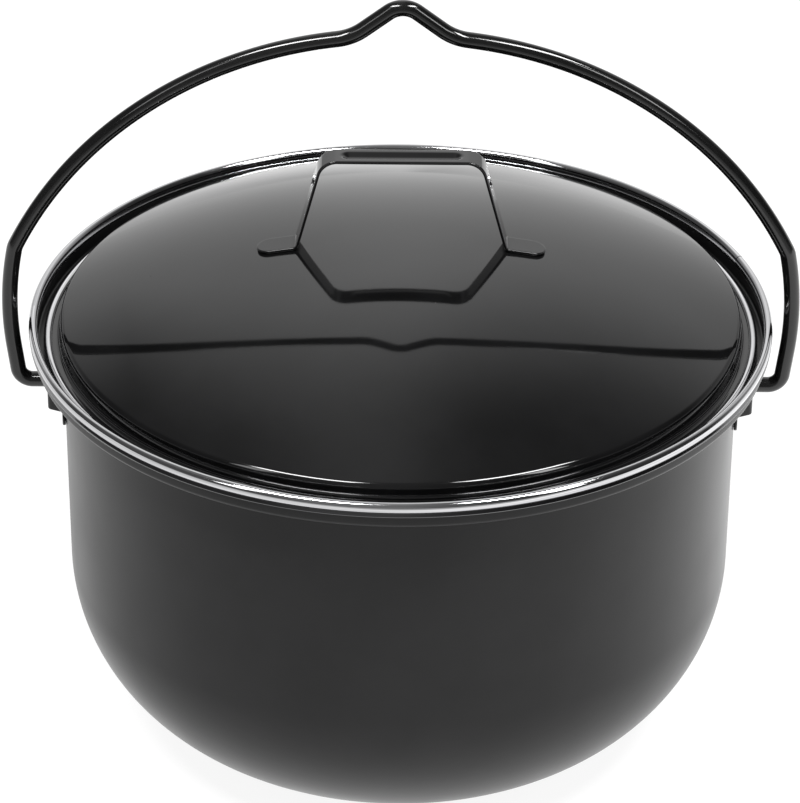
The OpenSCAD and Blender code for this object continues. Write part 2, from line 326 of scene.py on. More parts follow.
def edge_lanes(side, first_face, edge_r, mid):
    """Lanes round one soft long edge of a plate, from one broad face (1 upper, -1 lower) to the other."""
    lanes = []
    for face, angles in ((first_face, EDGE_ANGLES), (-first_face, EDGE_ANGLES[::-1])):
        for a in angles:
            lanes.append((side, edge_r * (1 - sin_d(a)), face * (mid - edge_r * (1 - cos_d(a))), 0))
    return lanes


def bent_plate(path, width, corner_r, thickness, edge_r, step, columns, press=None):
    """A plate with round corners and soft edges, bent along a path that is the middle of its sheet.

    Returns the bent points, a row for each station and a lane for each point of a row, and their
    distances across the path. press(along, across, side) may add to the height of the two broad faces.
    """
    p, n = np.array(path), path_normals(path)
    dist = np.concatenate([[0], np.cumsum(np.linalg.norm(np.diff(p, axis=0), axis=1))])
    length, half, mid = dist[-1], width / 2, thickness / 2
    # each lane: share of the half width, inset from the outline, height, and broad face (0 on an edge)
    lanes = [(u, edge_r, mid, 1) for u in np.linspace(-1, 1, columns)]
    lanes += edge_lanes(1, 1, edge_r, mid)
    lanes += [(u, edge_r, -mid, -1) for u in np.linspace(1, -1, columns)]
    lanes += edge_lanes(-1, -1, edge_r, mid)
    rows = []
    for kind, value in plate_rows(length, corner_r, step):
        row = []
        for u, inset, height, side in lanes:
            if kind == "flat":
                along, reach = value, half - inset
            else:
                r = corner_r - inset
                out = corner_r - r * sin_d(value)
                along = out if kind == "start" else length - out
                reach = half - corner_r + r * cos_d(value)
            across = u * reach
            rise = height + (press(along, across, side) if press and side else 0)
            row.append((along, across, rise))
        rows.append(row)
    flat = np.array(rows)
    s = flat[..., 0]
    place = np.stack([np.interp(s, dist, p[:, k]) for k in (0, 1)], axis=-1)
    normal = unit(np.stack([np.interp(s, dist, n[:, k]) for k in (0, 1)], axis=-1))
    bent = place + normal * flat[..., 2:3]
    return bent, flat[..., 1]


def grid_mesh(points):
    """Mesh of a tube of rows, each a closed loop of points, with both ends closed."""
    bm = bmesh.new()
    rows = [[bm.verts.new(q) for q in row] for row in points]
    count = len(rows[0])
    for near, far in zip(rows, rows[1:]):
        for j in range(count):
            k = (j + 1) % count
            bm.faces.new((near[j], near[k], far[k], far[j]))
    bm.faces.new(rows[0][::-1])
    bm.faces.new(rows[-1])
    return bm


def shader_group(name, inputs, outputs):
    """An empty node group with named sockets, each given as (name, default), and its two end nodes."""
    group = bpy.data.node_groups.new(name, "ShaderNodeTree")
    for label, default in inputs:
        socket = group.interface.new_socket(name=label, in_out="INPUT", socket_type="NodeSocketFloat")
        socket.default_value = default
    for label in outputs:
        group.interface.new_socket(name=label, in_out="OUTPUT", socket_type="NodeSocketFloat")
    source = group.nodes.new("NodeGroupInput")
    result = group.nodes.new("NodeGroupOutput")
    return group, source, result


def math_node(tree, operation, a, b=None, c=None):
    """A maths node. Each operand is a number or another node's output."""
    node = tree.nodes.new("ShaderNodeMath")
    node.operation = operation
    for i, value in enumerate((a, b, c)):
        if value is None:
            continue
        if isinstance(value, (int, float)):
            node.inputs[i].default_value = value
        else:
            tree.links.new(value, node.inputs[i])
    return node.outputs[0]


def ramp_node(tree, value, low, high, out_low=0.0, out_high=1.0, smooth=True):
    """Maps a value from one range to another, with soft ends or as a straight line."""
    node = tree.nodes.new("ShaderNodeMapRange")
    node.interpolation_type = "SMOOTHSTEP" if smooth else "LINEAR"
    tree.links.new(value, node.inputs["Value"])
    ends = (("From Min", low), ("From Max", high), ("To Min", out_low), ("To Max", out_high))
    for label, number in ends:
        if isinstance(number, (int, float)):
            node.inputs[label].default_value = number
        else:
            tree.links.new(number, node.inputs[label])
    return node.outputs["Result"]


def split_node(tree, vector):
    """The x, y and z of a vector."""
    node = tree.nodes.new("ShaderNodeSeparateXYZ")
    tree.links.new(vector, node.inputs[0])
    return node.outputs


def distance_from_axis(tree, x, y):
    """Distance from the pot's upright axis."""
    squares = math_node(tree, "ADD", math_node(tree, "MULTIPLY", x, x), math_node(tree, "MULTIPLY", y, y))
    return math_node(tree, "SQRT", squares)


def bump_node(tree, height):
    """Normal of a surface whose height changes by real lengths."""
    node = tree.nodes.new("ShaderNodeBump")
    node.inputs["Strength"].default_value = 1.0
    node.inputs["Distance"].default_value = 1.0
    tree.links.new(height, node.inputs["Height"])
    return node.outputs["Normal"]


def shade_node(tree, share, first, second):
    """A colour between two others."""
    node = tree.nodes.new("ShaderNodeMix")
    node.data_type = "RGBA"
    node.inputs["A"].default_value = (*first, 1)
    node.inputs["B"].default_value = (*second, 1)
    tree.links.new(share, node.inputs["Factor"])
    return node.outputs["Result"]


def noise_node(tree, vector, scale, detail, roughness):
    """Soft random noise between 0 and 1."""
    node = tree.nodes.new("ShaderNodeTexNoise")
    tree.links.new(vector, node.inputs["Vector"])
    for label, value in (("Scale", scale), ("Detail", detail), ("Roughness", roughness)):
        if isinstance(value, (int, float)):
            node.inputs[label].default_value = value
        else:
            tree.links.new(value, node.inputs[label])
    return node.outputs["Fac"]


def build_enamel_flow():
    """Fired enamel: slow waves from the pour, fine orange peel, pinholes, and a film of uneven gloss."""
    tree, source, result = shader_group(
        "enamel_flow",
        [("Waves per metre", 60.0), ("Wave height", 0.00001), ("Peel per metre", 900.0),
         ("Peel height", 0.000002), ("Pinholes", 0.3), ("Gloss change", 0.05)],
        ["Height", "Mottle", "Gloss", "Pinhole"],
    )
    mottle_per_metre, cloud_per_metre = 26.0, 11.0
    noise_low, noise_high = 0.3, 0.7
    cells_per_metre, cells_left_whole = 75.0, 0.93
    pit_middle, pit_edge, pit_depth = 0.018, 0.03, 0.00003
    place = tree.nodes.new("ShaderNodeTexCoord").outputs["Object"]
    wave = noise_node(tree, place, source.outputs["Waves per metre"], detail=2.0, roughness=0.45)
    peel = noise_node(tree, place, source.outputs["Peel per metre"], detail=1.0, roughness=0.4)
    wave_h = math_node(tree, "MULTIPLY", wave, source.outputs["Wave height"])
    peel_h = math_node(tree, "MULTIPLY", peel, source.outputs["Peel height"])
    # a pinhole in the middle of a few cells
    cells = tree.nodes.new("ShaderNodeTexVoronoi")
    tree.links.new(place, cells.inputs["Vector"])
    cells.inputs["Scale"].default_value = cells_per_metre
    cells.inputs["Randomness"].default_value = 1.0
    near = ramp_node(tree, cells.outputs["Distance"], pit_middle, pit_edge, 1.0, 0.0)
    picker = tree.nodes.new("ShaderNodeSeparateColor")
    tree.links.new(cells.outputs["Color"], picker.inputs["Color"])
    rare = math_node(tree, "GREATER_THAN", picker.outputs["Red"], cells_left_whole)
    pinhole = math_node(tree, "MULTIPLY", near, rare)
    pinhole = math_node(tree, "MULTIPLY", pinhole, source.outputs["Pinholes"])
    pit = math_node(tree, "MULTIPLY", pinhole, -pit_depth)
    height = math_node(tree, "ADD", math_node(tree, "ADD", wave_h, peel_h), pit)
    spots = noise_node(tree, place, mottle_per_metre, detail=4.0, roughness=0.6)
    mottle = ramp_node(tree, spots, noise_low, noise_high)
    clouds = noise_node(tree, place, cloud_per_metre, detail=3.0, roughness=0.55)
    cloud = ramp_node(tree, clouds, noise_low, noise_high, -1.0, 1.0)
    gloss = math_node(tree, "MULTIPLY", cloud, source.outputs["Gloss change"])
    for label, value in (("Height", height), ("Mottle", mottle), ("Gloss", gloss), ("Pinhole", pinhole)):
        tree.links.new(value, result.inputs[label])
    return tree


def build_polish_marks():
    """Polished band steel: fine lines drawn round the pot's axis, and soft handling marks."""
    tree, source, result = shader_group(
        "polish_marks",
        [("Line depth", 0.000001), ("Line contrast", 0.05)],
        ["Height", "Shade", "Roughness change"],
    )
    lines_per_metre, changes_per_radian, marks_per_metre = 2600.0, 2.0, 45.0
    marks_low, marks_high = 0.35, 0.7
    most_gloss, least_gloss = -0.04, 0.06
    place = tree.nodes.new("ShaderNodeTexCoord").outputs["Object"]
    x, y, z = split_node(tree, place)
    radius = distance_from_axis(tree, x, y)
    angle = math_node(tree, "ARCTAN2", y, x)
    drawn = tree.nodes.new("ShaderNodeCombineXYZ")
    drawn_scales = ((angle, changes_per_radian), (radius, lines_per_metre), (z, lines_per_metre))
    for socket, (value, scale) in zip(drawn.inputs, drawn_scales):
        tree.links.new(math_node(tree, "MULTIPLY", value, scale), socket)
    lines = noise_node(tree, drawn.outputs[0], scale=1.0, detail=2.0, roughness=0.6)
    marks = noise_node(tree, place, marks_per_metre, detail=4.0, roughness=0.65)
    height = math_node(tree, "MULTIPLY", lines, source.outputs["Line depth"])
    shade = math_node(tree, "SUBTRACT", lines, 0.5)
    shade = math_node(tree, "MULTIPLY", shade, source.outputs["Line contrast"])
    change = ramp_node(tree, marks, marks_low, marks_high, most_gloss, least_gloss)
    for label, value in (("Height", height), ("Shade", shade), ("Roughness change", change)):
        tree.links.new(value, result.inputs[label])
    return tree


def new_material(name):
    """A material with nodes, its node tree and its shader."""
    material = bpy.data.materials.new(name)
    material.use_nodes = True
    shader = material.node_tree.nodes["Principled BSDF"]
    return material, material.node_tree, shader


def enamel(name, flow, shade, fleck, roughness, shine, wave_h, peel_h, gloss_change, pinholes):
    """Black vitreous enamel over steel, mottled from its shade to the shade of its flecks."""
    pinhole_dulling = 0.5
    material, tree, shader = new_material(name)
    skin = tree.nodes.new("ShaderNodeGroup")
    skin.node_tree = flow
    skin.inputs["Wave height"].default_value = wave_h
    skin.inputs["Peel height"].default_value = peel_h
    skin.inputs["Gloss change"].default_value = gloss_change
    skin.inputs["Pinholes"].default_value = pinholes
    tree.links.new(shade_node(tree, skin.outputs["Mottle"], shade, fleck), shader.inputs["Base Color"])
    rough = math_node(tree, "ADD", skin.outputs["Gloss"], roughness)
    dulled = math_node(tree, "MULTIPLY", skin.outputs["Pinhole"], pinhole_dulling)
    tree.links.new(math_node(tree, "ADD", rough, dulled), shader.inputs["Roughness"])
    tree.links.new(bump_node(tree, skin.outputs["Height"]), shader.inputs["Normal"])
    shader.inputs["IOR"].default_value = 1.5
    shader.inputs["Specular IOR Level"].default_value = shine
    return material


def band_steel(name, polish, dark, pale):
    """Polished stainless steel of the crimped bands, between a dark and a pale shade, with painted shade
    in the crease under the rim's tube.
    """
    line_depth, line_contrast, roughness = 0.0000015, 2.0, 0.09
    # places over and beside the middle of the rim's tube, where painted shade darkens the outer lip's
    # crease under the tube
    crease_bottom, crease_top, crease_painted_shade = -1.9 * MM, -1.0 * MM, 0.7
    inner_side, outer_side = -0.7 * MM, -0.5 * MM
    material, tree, shader = new_material(name)
    lines = tree.nodes.new("ShaderNodeGroup")
    lines.node_tree = polish
    lines.inputs["Line depth"].default_value = line_depth
    lines.inputs["Line contrast"].default_value = line_contrast
    level = math_node(tree, "ADD", lines.outputs["Shade"], 0.5)
    colour = shade_node(tree, level, dark, pale)
    x, y, z = split_node(tree, tree.nodes.new("ShaderNodeTexCoord").outputs["Object"])
    height = math_node(tree, "SUBTRACT", z, RIM_Z)
    radius = distance_from_axis(tree, x, y)
    outside = ramp_node(tree, radius, RIM_MID_R + inner_side, RIM_MID_R + outer_side)
    painted_crease_shade = ramp_node(tree, height, crease_bottom, crease_top, crease_painted_shade, 0.0)
    # painted shade: the colour is darkened low on the rim's outer side and on its outer lip, where the
    # tube shades the crease
    unshaded_share = math_node(tree, "SUBTRACT", 1.0, math_node(tree, "MULTIPLY", outside, painted_crease_shade))
    dulled = tree.nodes.new("ShaderNodeVectorMath")
    dulled.operation = "SCALE"
    tree.links.new(colour, dulled.inputs[0])
    tree.links.new(unshaded_share, dulled.inputs["Scale"])
    tree.links.new(dulled.outputs["Vector"], shader.inputs["Base Color"])
    shader.inputs["Metallic"].default_value = 1.0
    rough = math_node(tree, "ADD", lines.outputs["Roughness change"], roughness)
    tree.links.new(rough, shader.inputs["Roughness"])
    tree.links.new(bump_node(tree, lines.outputs["Height"]), shader.inputs["Normal"])
    return material


def pot_path():
    """Middle of the pot's sheet from the base's centre to the edge inside the rim band."""
    ledge_end = COLLAR_R - COLLAR_BEND_R
    seat_bend_z = SEAT_Z - POT_SHEET - SEAT_BEND_R
    path = Bender((0, POT_SHEET / 2))
    path.run(WALL_R - BASE_CORNER_R, steps=4)
    path.bend(BASE_CORNER_R - POT_SHEET / 2, 90, steps=36)
    path.run(seat_bend_z - BASE_CORNER_R, steps=6)
    path.bend(SEAT_BEND_R + POT_SHEET / 2, -90, steps=12)
    path.run(ledge_end - WALL_R - SEAT_BEND_R)
    path.bend(COLLAR_BEND_R + POT_SHEET / 2, 90, steps=10)
    path.run(SEAT_DROP - COLLAR_BEND_R + EDGE_IN_BAND, steps=2)
    return path.points


def rim_band_path():
    """Middle of the rim band's sheet: inner lip, oval part and sloping outer lip."""
    half_w = RIM_BAND_W / 2 - BAND_SHEET / 2
    half_h = RIM_BAND_D / 2 - BAND_SHEET / 2
    lip_x = COLLAR_R + POT_SHEET + SEAT_GAP + BAND_SHEET / 2 - RIM_MID_R
    last_a = -math.degrees(math.acos((lip_x + LIP_CREASE_ROOM) / half_w))
    path = Bender((RIM_MID_R - half_w, RIM_Z - BAND_LIP + BAND_SHEET / 2), heading=90)
    path.run(RIM_Z - path.points[-1][1], steps=3)
    for a in np.linspace(180, last_a, OVAL_STEPS + 1)[1:]:
        path.points.append((RIM_MID_R + half_w * cos_d(a), RIM_Z + half_h * sin_d(a)))
    path.heading = math.degrees(math.atan2(-half_h * cos_d(last_a), half_w * sin_d(last_a)))
    path.bend(LIP_CREASE_R, LIP_SLOPE_A - 90 - path.heading, steps=8)
    lip_drop = path.points[-1][1] - RIM_Z + OUTER_LIP - BAND_SHEET / 2
    path.run(lip_drop / cos_d(LIP_SLOPE_A), steps=3)
    return path.points


def lid_path():
    """Middle of the lid's sheet from the crown to the flange's edge inside its band."""
    path = Bender((0, CROWN_Z - LID_SHEET / 2))
    path.bend(DOME_R - LID_SHEET / 2, EDGE_A - 90, steps=48)
    path.bend(DOME_EDGE_R - LID_SHEET / 2, -EDGE_A, steps=16)
    path.run(SKIRT_H)
    path.bend(SKIRT_FILLET_R + LID_SHEET / 2, 90, steps=14)
    path.run(LID_MID_R - SKIRT_R - SKIRT_FILLET_R)
    return path.points


def lid_band_path():
    """Middle of the lid band's sheet, open towards the flange."""
    band_mid = LID_BAND_D / 2 - BAND_SHEET / 2
    slot_a = math.degrees(math.asin((LID_SHEET / 2 + SEAT_GAP + BAND_SHEET / 2) / band_mid))
    start = (LID_MID_R - band_mid * cos_d(slot_a), LID_MID_Z + band_mid * sin_d(slot_a))
    path = Bender(start, heading=90 - slot_a)
    path.bend(band_mid, 2 * slot_a - 360, steps=56)
    return path.points


def mirrored(points):
    """A path from the far end of its mirror image to its own far end."""
    return [(-x, z) for x, z in points[:0:-1]] + list(points)


def bail_path():
    """Middle of the bail's wire from one end to the other."""
    half = Bender((0, BAIL_TOP - WIRE_D / 2))
    half.bend(HOOK_R, -HOOK_A, steps=14)
    half.run(HOOK_FLANK, steps=4)
    half.bend(NECK_R, HOOK_A - ARCH_START_A, steps=12)
    half.run(BEND_GAP)
    turned = (HOOK_R * sin_d(HOOK_A) + HOOK_FLANK * cos_d(HOOK_A)
              + NECK_R * (sin_d(HOOK_A) - sin_d(ARCH_START_A))
              + SHOULDER_R * (sin_d(SIDE_A) - sin_d(SHOULDER_A)) + SIDE_R * (1 - sin_d(SIDE_A))
              + BEND_GAP * (cos_d(ARCH_START_A) + cos_d(SHOULDER_A) + cos_d(SIDE_A)))
    arch_r = (BAIL_HALF_W - turned) / (sin_d(SHOULDER_A) - sin_d(ARCH_START_A))
    half.bend(arch_r, ARCH_START_A - SHOULDER_A, steps=56)
    half.run(BEND_GAP)
    half.bend(SHOULDER_R, SHOULDER_A - SIDE_A, steps=8)
    half.run(BEND_GAP)
    half.bend(SIDE_R, SIDE_A - 90 - TOE_IN, steps=20)
    half.run(LEG_RUN, steps=3)
    half.bend(TOE_R, TOE_IN - 90, steps=16)
    half.run(half.points[-1][0] - WALL_R - PIN_GAP, steps=6)
    return mirrored(half.points)


def handle_path():
    """Middle of the handle's strap from the end of one tab to the end of the other."""
    strap_mid_r = DOME_R + SEAT_GAP + STRAP_T / 2
    foot_x = FOOT_SPAN / 2
    tab_a = math.degrees(math.asin((foot_x + HANDLE_L / 2) / 2 / strap_mid_r))
    foot_z = (DOME_MID_Z + strap_mid_r * cos_d(tab_a)
              + (strap_mid_r * sin_d(tab_a) - foot_x) * tan_d(tab_a))
    top_z = HANDLE_TOP - STRAP_T / 2
    rise = top_z - foot_z
    top_bend_l = TOP_BEND_R * tan_d(LEG_A / 2)
    foot_bend_l = FOOT_BEND_R * tan_d((LEG_A - tab_a) / 2)
    half = Bender((0, top_z))
    half.run(foot_x - rise / tan_d(LEG_A) - top_bend_l, steps=8)
    half.bend(TOP_BEND_R, -LEG_A, steps=20)
    half.run(rise / sin_d(LEG_A) - top_bend_l - foot_bend_l, steps=6)
    half.bend(FOOT_BEND_R, LEG_A - tab_a, steps=12)
    half.run((HANDLE_L / 2 - foot_x) / cos_d(tab_a) - foot_bend_l, steps=6)
    return mirrored(half.points)


def ear_path():
    """Middle of the ear's sheet seen from above, from one end of its flanges to the other."""
    bend_mid = EAR_BEND_R + EAR_SHEET / 2
    seat_r = WALL_R + SEAT_GAP
    bend_out = EAR_BEND_R + EAR_SHEET
    top_x, top_y = EAR_OUT_X - bend_out, EAR_FACE_W / 2
    side = sin_d(EAR_SPLAY) * top_x + cos_d(EAR_SPLAY) * top_y + bend_out + EAR_BEND_R
    reach = math.sqrt((seat_r + bend_out) ** 2 - side**2)
    foot_x = sin_d(EAR_SPLAY) * side + cos_d(EAR_SPLAY) * reach
    foot_y = cos_d(EAR_SPLAY) * side - sin_d(EAR_SPLAY) * reach
    foot_a = math.degrees(math.atan2(foot_y, foot_x))
    end_a = math.degrees(math.asin(EAR_W / 2 / (seat_r + EAR_SHEET / 2)))
    side_l = math.sqrt(math.hypot(top_x - foot_x, top_y - foot_y) ** 2 - (bend_out + EAR_BEND_R) ** 2)
    turn = 90 - EAR_SPLAY
    half = Bender((EAR_OUT_X - EAR_SHEET / 2, 0), heading=90)
    half.run(EAR_FACE_W / 2, steps=4)
    half.bend(bend_mid, turn, steps=10)
    half.run(side_l, steps=4)
    half.bend(bend_mid, foot_a - turn, steps=10)
    half.bend(seat_r + EAR_SHEET / 2, end_a - foot_a, steps=12)
    return [(x, -y) for x, y in half.points[:0:-1]] + half.points


def channel_press(length):
    """A function that says how far the pressed channel moves a face, at a place on the flat strap."""
    straight = (CHANNEL_L - CHANNEL_W) / 2

    def press(along, across, side):
        beyond = max(0.0, abs(along - length / 2) - straight)
        half_w = CHANNEL_W / 2 + CHANNEL_ROLL + (STRAP_T / 2 if side < 0 else 0)
        t = min(1.0, math.hypot(beyond, across) / half_w)
        return -CHANNEL_D * (1 - t * t) ** 2

    return press


def path_length(points):
    """Length of a flat path."""
    p = np.array(points)
    return float(np.linalg.norm(np.diff(p, axis=0), axis=1).sum())


def build_pot(material):
    """The pot's drawn sheet with base, wall, ledge and collar."""
    outline = sheet_section(pot_path(), POT_SHEET, round_start=False)
    finish_mesh("pot_drawn", turn_section(outline), "pot", "pot_shell", material)


def build_rim_band(material):
    """The rim's steel band, with the open butt joint of its two ends."""
    outline = sheet_section(rim_band_path(), BAND_SHEET)
    seam_a = math.degrees(SEAM_W / RIM_MID_R)
    bm = turn_section(outline, SEAM_AZ + seam_a / 2, 360 - seam_a)
    finish_mesh("rim_band_crimped", bm, "pot", "pot_rim_band", material)


def build_lid(material):
    """The lid's pressed sheet with dome, edge bend, skirt, fillet and flange."""
    outline = sheet_section(lid_path(), LID_SHEET, round_start=False)
    finish_mesh("lid_pressed", turn_section(outline), "pot", "lid_shell", material)


def build_lid_band(material):
    """The steel band round the lid's flange."""
    outline = sheet_section(lid_band_path(), BAND_SHEET)
    finish_mesh("lid_band_crimped", turn_section(outline), "pot", "lid_rim_band", material)


def build_bail(material):
    """The bail, one bent wire."""
    bm = sweep_wire(bail_path(), WIRE_D / 2, WIRE_EDGE_R)
    finish_mesh("bail_bent", bm, "bail", "bail", material)


def build_handle(material):
    """The lid's handle, one bent strap with round tabs and a pressed channel."""
    path = handle_path()
    press = channel_press(path_length(path))
    bent, across = bent_plate(path, STRAP_W, STRAP_W / 2, STRAP_T, STRAP_EDGE_R, STRAP_STEP,
                              STRAP_COLUMNS, press)
    points = np.stack([bent[..., 0], across, bent[..., 1]], axis=-1)
    finish_mesh("handle_strap", grid_mesh(points), "pot", "lid_handle", material)


def build_ear(side, material):
    """One ear, pressed from sheet, with a hole for the bail's end. side is 1 at +X and -1 at -X."""
    bent, across = bent_plate(ear_path(), EAR_H, EAR_CORNER_R, EAR_SHEET, EAR_EDGE_R, EAR_STEP,
                              EAR_COLUMNS)
    points = np.stack([side * bent[..., 0], bent[..., 1], PIVOT_Z + across], axis=-1)
    node = "ear_right" if side > 0 else "ear_left"
    piece = finish_mesh(node + "_pressed", grid_mesh(points), "pot", node, material)
    drill_ear(piece, side)


def drill_ear(piece, side):
    """Cuts the hole for the bail's end, in line with the pivot."""
    drill = bmesh.new()
    face = Matrix.Translation((side * (EAR_OUT_X - EAR_SHEET / 2), 0, PIVOT_Z))
    turn = face @ Matrix.Rotation(math.pi / 2, 4, "Y")
    bmesh.ops.create_cone(drill, cap_ends=True, segments=DRILL_SIDES, radius1=EAR_HOLE_R,
                          radius2=EAR_HOLE_R, depth=4 * EAR_SHEET, matrix=turn)
    cutter = bpy.data.meshes.new("drill")
    drill.to_mesh(cutter)
    drill.free()
    tool = bpy.data.objects.new("drill", cutter)
    bpy.context.scene.collection.objects.link(tool)
    cut = piece.modifiers.new("hole", "BOOLEAN")
    cut.operation = "DIFFERENCE"
    cut.solver = "EXACT"
    cut.object = tool
    bpy.context.view_layer.update()
    done = bpy.data.meshes.new_from_object(piece.evaluated_get(bpy.context.evaluated_depsgraph_get()))
    piece.modifiers.clear()
    piece.data = done
    bpy.data.objects.remove(tool)
    done.set_sharp_from_angle(angle=math.radians(SMOOTH_A))


def add_shaders(tree, first, second):
    """The sum of two shaders."""
    node = tree.nodes.new("ShaderNodeAddShader")
    tree.links.new(first.outputs[0], node.inputs[0])
    tree.links.new(second.outputs[0], node.inputs[1])
    return node


def mix_shaders(tree, factor, first, second):
    """The first shader where the factor is 0, the second where it is 1."""
    node = tree.nodes.new("ShaderNodeMixShader")
    tree.links.new(factor, node.inputs["Fac"])
    tree.links.new(first.outputs[0], node.inputs[1])
    tree.links.new(second.outputs[0], node.inputs[2])
    return node


def curve_nodes(tree, value, factors):
    """Polynomial of a value, with the constant first."""
    total = factors[-1]
    for factor in reversed(factors[:-1]):
        total = math_node(tree, "MULTIPLY_ADD", value, total, factor)
    return total


def floor_glow(tree):
    """How bright the floor is in the pot's reflections, over its place.

    It is brighter to the right and far from the pot, less bright in front and on the right behind the
    pot, and dark where the table ends in front.
    """
    left_x, right_x, left_glow, right_glow = -0.3, 0.3, 0.88, 1.4
    near_pot, far_away, far_glow = 0.4, 1.2, 1.2
    front_y, middle_y, front_glow = -0.4, -0.05, 0.84
    end_y, table_y, end_glow = -0.75, -0.42, 0.2
    behind_y, well_behind_y = 0.15, 0.4
    middle_x, side_x, right_loss = -0.02, 0.1, 0.32
    place = tree.nodes.new("ShaderNodeNewGeometry").outputs["Position"]
    x, y, _ = split_node(tree, place)
    distance = tree.nodes.new("ShaderNodeVectorMath")
    distance.operation = "LENGTH"
    tree.links.new(place, distance.inputs[0])
    behind = ramp_node(tree, y, behind_y, well_behind_y)
    lost = math_node(tree, "MULTIPLY", behind, ramp_node(tree, x, middle_x, side_x, 0.0, right_loss))
    parts = (
        ramp_node(tree, distance.outputs["Value"], near_pot, far_away, 1.0, far_glow),
        ramp_node(tree, y, front_y, middle_y, front_glow, 1.0),
        ramp_node(tree, y, end_y, table_y, end_glow, 1.0),
        math_node(tree, "SUBTRACT", 1.0, lost),
    )
    glow = ramp_node(tree, x, left_x, right_x, left_glow, right_glow, smooth=False)
    for part in parts:
        glow = math_node(tree, "MULTIPLY", glow, part)
    return glow


def build_floor():
    """Pale floor that shows as white to the camera and in reflections, and keeps the shadow."""
    matt_shade, pale_shade, white_level = 0.8, 0.14, 0.9
    mesh = bpy.data.meshes.new("floor")
    half = FLOOR_HALF
    corners = [(-half, -half, 0), (half, -half, 0), (half, half, 0), (-half, half, 0)]
    mesh.from_pydata(corners, [], [(0, 1, 2, 3)])
    floor = bpy.data.objects.new("floor", mesh)
    bpy.context.scene.collection.objects.link(floor)
    material = bpy.data.materials.new("white_studio_floor")
    material.use_nodes = True
    tree = material.node_tree
    tree.nodes.clear()
    out = tree.nodes.new("ShaderNodeOutputMaterial")
    matt = tree.nodes.new("ShaderNodeBsdfDiffuse")
    matt.inputs["Color"].default_value = (matt_shade, matt_shade, matt_shade, 1)
    pale = tree.nodes.new("ShaderNodeBsdfDiffuse")
    pale.inputs["Color"].default_value = (pale_shade, pale_shade, pale_shade, 1)
    white = tree.nodes.new("ShaderNodeEmission")
    white.inputs["Strength"].default_value = white_level
    shown = add_shaders(tree, pale, white)
    glow = tree.nodes.new("ShaderNodeEmission")
    tree.links.new(floor_glow(tree), glow.inputs["Strength"])
    reflected = add_shaders(tree, pale, glow)
    light = tree.nodes.new("ShaderNodeLightPath")
    for_others = mix_shaders(tree, light.outputs["Is Glossy Ray"], matt, reflected)
    for_all = mix_shaders(tree, light.outputs["Is Camera Ray"], for_others, shown)
    tree.links.new(for_all.outputs[0], out.inputs["Surface"])
    mesh.materials.append(material)


def panel_level(tree):
    """How bright the set is in the pot's reflections: a panel behind the pot, and a dark room in front.

    It is laid out on a map of the sky with the zenith at its middle and the horizon at distance 1.
    """
    panel_left, panel_right, panel_depth = -0.29, 0.35, 0.429
    edge_curve, dark_curve = (0.102, 0.313, 1.302, -5.634), (0.095, -0.115)
    width_curve, width_least = (1.53, 0.02, -3.6), 0.55
    height_curve, height_middle, height_least = (1.0, -1.1, 2.3), 0.5, 0.1
    ridge_half_w, ridge_level = 0.15, 0.2
    lamp_across, lamp_core, lamp_edge, lamp_level = -0.05, 0.02, 0.14, 0.1
    lamp_front, lamp_back = -0.15, -0.03
    x, y, z = split_node(tree, tree.nodes.new("ShaderNodeTexCoord").outputs["Generated"])
    lift = math_node(tree, "ADD", z, 1.0)
    across = math_node(tree, "DIVIDE", x, lift)
    back = math_node(tree, "DIVIDE", y, lift)
    # the panel's front edge bows
    near_middle = math_node(tree, "MINIMUM", math_node(tree, "MAXIMUM", across, panel_left), panel_right)
    past_edge = math_node(tree, "SUBTRACT", back, curve_nodes(tree, near_middle, edge_curve))
    # a weaker lamp hangs above the pot, where the room is dark
    off_lamp = math_node(tree, "ABSOLUTE", math_node(tree, "SUBTRACT", across, lamp_across))
    lamp = ramp_node(tree, off_lamp, lamp_core, lamp_edge, lamp_level, 0.0)
    lamp = math_node(tree, "MULTIPLY", lamp, ramp_node(tree, back, lamp_front, lamp_back))
    dark = math_node(tree, "ADD", curve_nodes(tree, near_middle, dark_curve), lamp)
    panel_part = ramp_node(tree, past_edge, 0.0, panel_depth, dark, 1.0)
    # the panel is brightest along its middle
    by_width = math_node(tree, "MAXIMUM", curve_nodes(tree, across, width_curve), width_least)
    ridge = ramp_node(tree, math_node(tree, "ABSOLUTE", across), 0.0, ridge_half_w, ridge_level, 0.0)
    by_width = math_node(tree, "ADD", by_width, ridge)
    height = math_node(tree, "MAXIMUM", back, height_least)
    past_middle = math_node(tree, "SUBTRACT", height, height_middle)
    by_height = curve_nodes(tree, past_middle, height_curve)
    return math_node(tree, "MULTIPLY", math_node(tree, "MULTIPLY", panel_part, by_width), by_height)


def build_world():
    """White set behind the pot, dark room on the camera's side, and an even fill for matt surfaces."""
    fill_level = 0.55
    world = bpy.data.worlds.new("studio")
    bpy.context.scene.world = world
    world.use_nodes = True
    tree = world.node_tree
    tree.nodes.clear()
    out = tree.nodes.new("ShaderNodeOutputWorld")
    panel = tree.nodes.new("ShaderNodeBackground")
    tree.links.new(panel_level(tree), panel.inputs["Strength"])
    fill = tree.nodes.new("ShaderNodeBackground")
    fill.inputs["Strength"].default_value = fill_level
    backdrop = tree.nodes.new("ShaderNodeBackground")
    light = tree.nodes.new("ShaderNodeLightPath")
    mirror = mix_shaders(tree, light.outputs["Is Glossy Ray"], fill, panel)
    shown = mix_shaders(tree, light.outputs["Is Camera Ray"], mirror, backdrop)
    tree.links.new(shown.outputs[0], out.inputs["Surface"])


